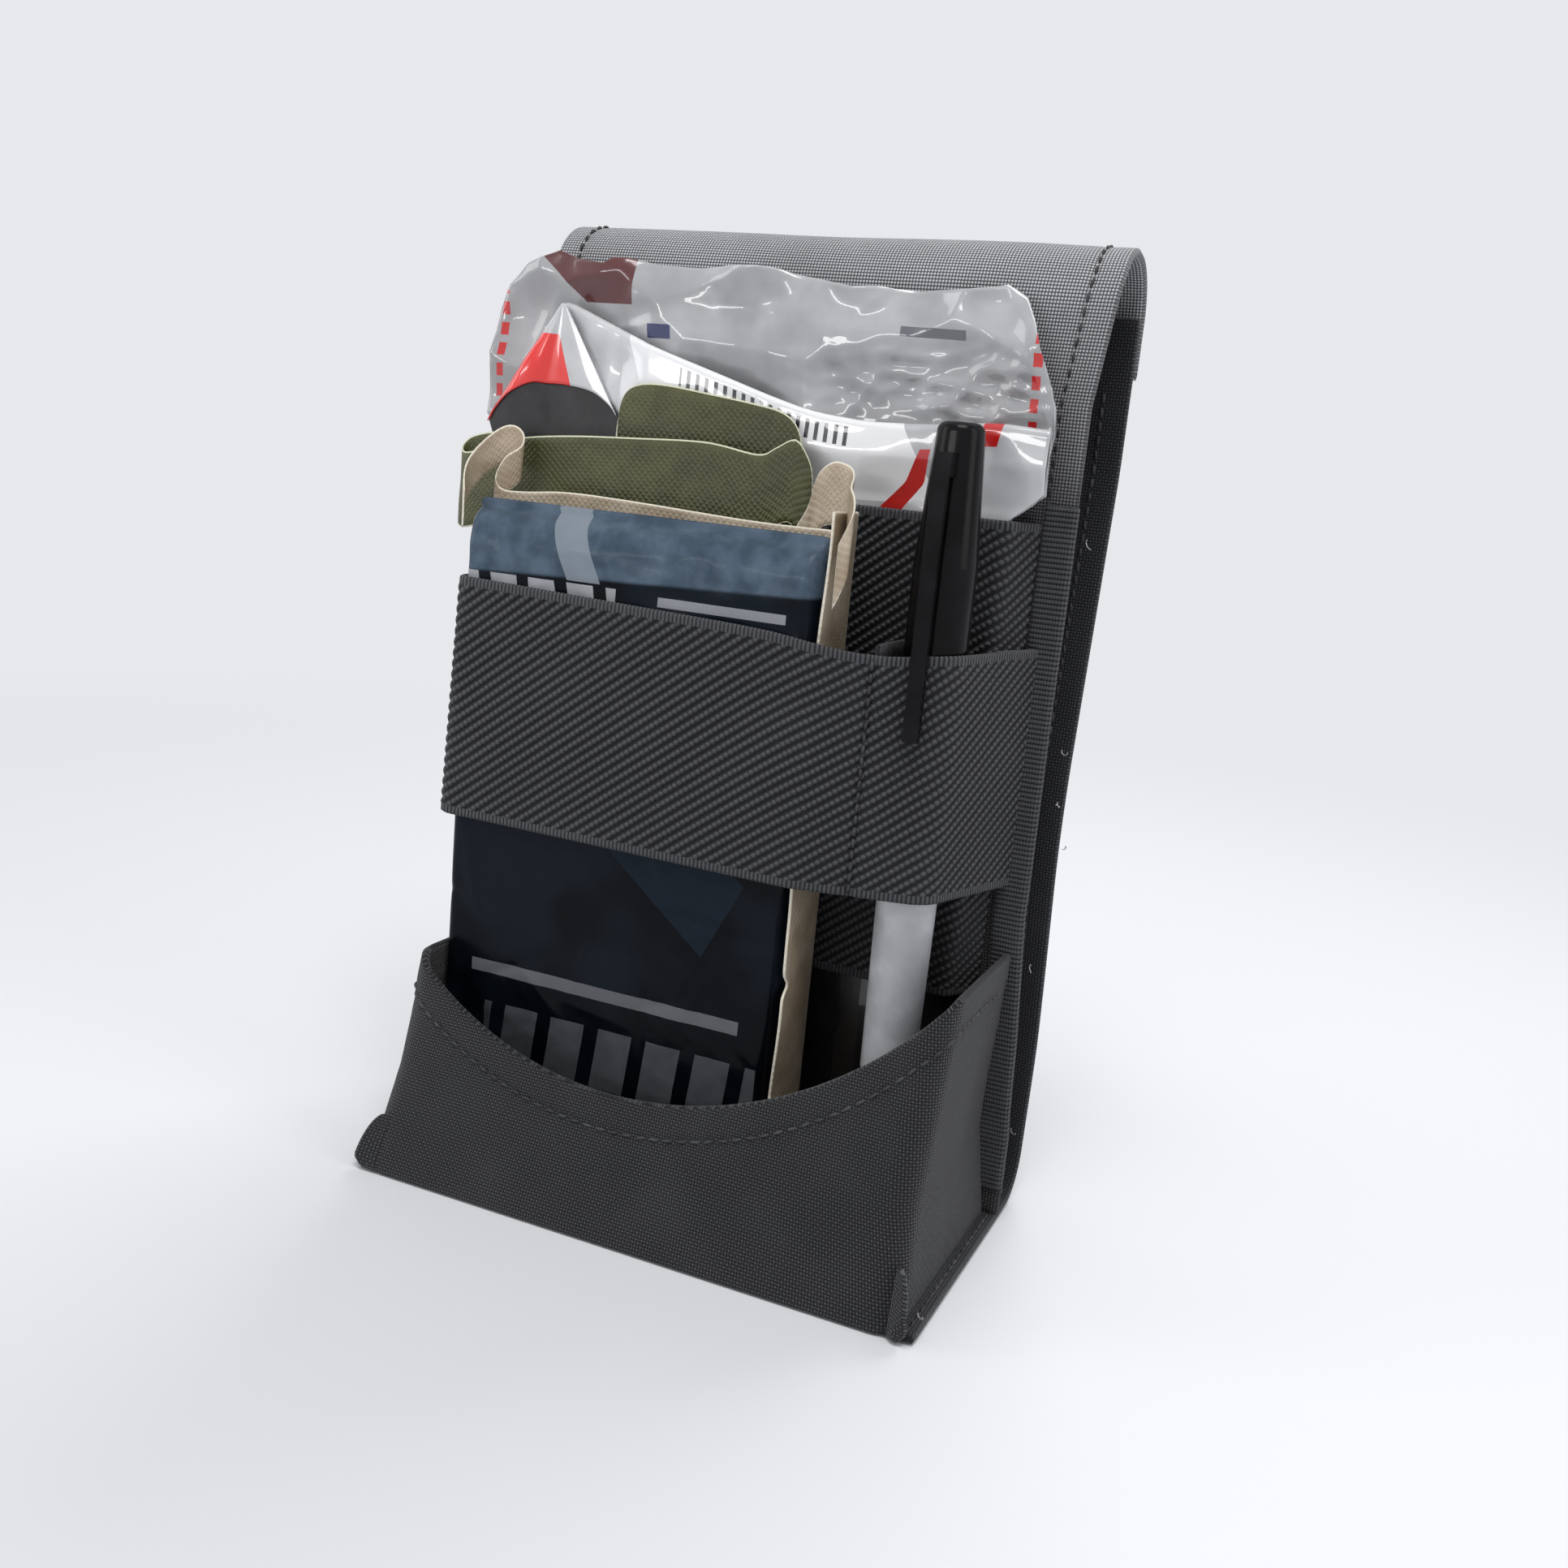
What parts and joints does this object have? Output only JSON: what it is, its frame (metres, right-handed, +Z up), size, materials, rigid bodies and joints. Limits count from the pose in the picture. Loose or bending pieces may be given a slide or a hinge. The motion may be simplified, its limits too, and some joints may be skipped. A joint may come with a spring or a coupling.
{
  "type": "loaded tourniquet pouch",
  "caption": "Open-front fabric pouch with a belt loop, holding a packed stretch-wrap tourniquet, sealed dressings and a capped marker under elastic bands.",
  "frame": {"origin": "bottom centre of the overall box, on the flat base", "axes": "+X right seen from the front, +Y back towards the belt loop, +Z up along the panel"},
  "size_m": [0.1332, 0.086, 0.211],
  "materials": {
    "nylon": "matt woven",
    "lining": "matt brushed",
    "binding": "matt ribbed tape",
    "hook_loop": "matt pile",
    "elastic": "matt ribbed",
    "printed_film": "glossy film",
    "wrap_rubber": "matt",
    "tan_film": "satin film",
    "olive_film": "satin film",
    "white_foil": "glossy film",
    "gauze": "matt",
    "clear_film": "glossy",
    "felt": "matt",
    "barrel_plastic": "satin",
    "black_plastic": "satin",
    "cap_plastic": "glossy"
  },
  "bodies": {
    "pouch": {"back_panel": "nylon", "panel_lining": "lining", "side_binding_left": "binding", "side_binding_right": "binding", "base_strip": "nylon", "belt_strap": "nylon", "loop_patch": "hook_loop", "pocket_shell": "nylon", "pocket_hem": "nylon", "corner_seams": "nylon", "rear_elastic_band": "elastic", "front_elastic_band": "elastic", "bay_divider": "elastic"},
    "flap": {"belt_flap": "nylon", "hook_patch": "hook_loop"},
    "tourniquet_pack": {"tourniquet_wrapper": "printed_film", "tourniquet_band": "wrap_rubber"},
    "gauze_pack": {"gauze_wrapper": "tan_film", "gauze_side_seal": "tan_film", "gauze_pad": "gauze"},
    "dressing_pack": {"dressing_wrapper": "olive_film", "dressing_pad": "gauze"},
    "foil_pack": {"foil_pouch": "white_foil", "seal_discs": "clear_film"},
    "marker": {"marker_barrel": "barrel_plastic", "marker_end_plug": "black_plastic", "marker_reservoir": "felt", "marker_section": "black_plastic", "marker_nib": "felt"},
    "cap": {"marker_cap": "cap_plastic", "cap_liner": "black_plastic"}
  },
  "joints": [
    {"name": "belt_flap_hinge", "type": "hinge", "parent": "pouch", "child": "flap", "pos_m": [0, 0.03525, 0.20919], "axis": [1, 0, 0], "range_deg": [0, 110]},
    {"name": "tourniquet_slide", "type": "slide", "parent": "pouch", "child": "tourniquet_pack", "axis": [0, 0, 1], "range_m": [0, 0.15]},
    {"name": "gauze_slide", "type": "slide", "parent": "pouch", "child": "gauze_pack", "axis": [0, 0, 1], "range_m": [0, 0.16]},
    {"name": "dressing_slide", "type": "slide", "parent": "pouch", "child": "dressing_pack", "axis": [0, 0, 1], "range_m": [0, 0.18]},
    {"name": "foil_slide", "type": "slide", "parent": "pouch", "child": "foil_pack", "axis": [0, 0, 1], "range_m": [0, 0.2]},
    {"name": "marker_slide", "type": "slide", "parent": "pouch", "child": "marker", "axis": [0, 0, 1], "range_m": [0, 0.14]},
    {"name": "cap_slide", "type": "slide", "parent": "marker", "child": "cap", "axis": [0, 0, 1], "range_m": [0, 0.045]}
  ]
}
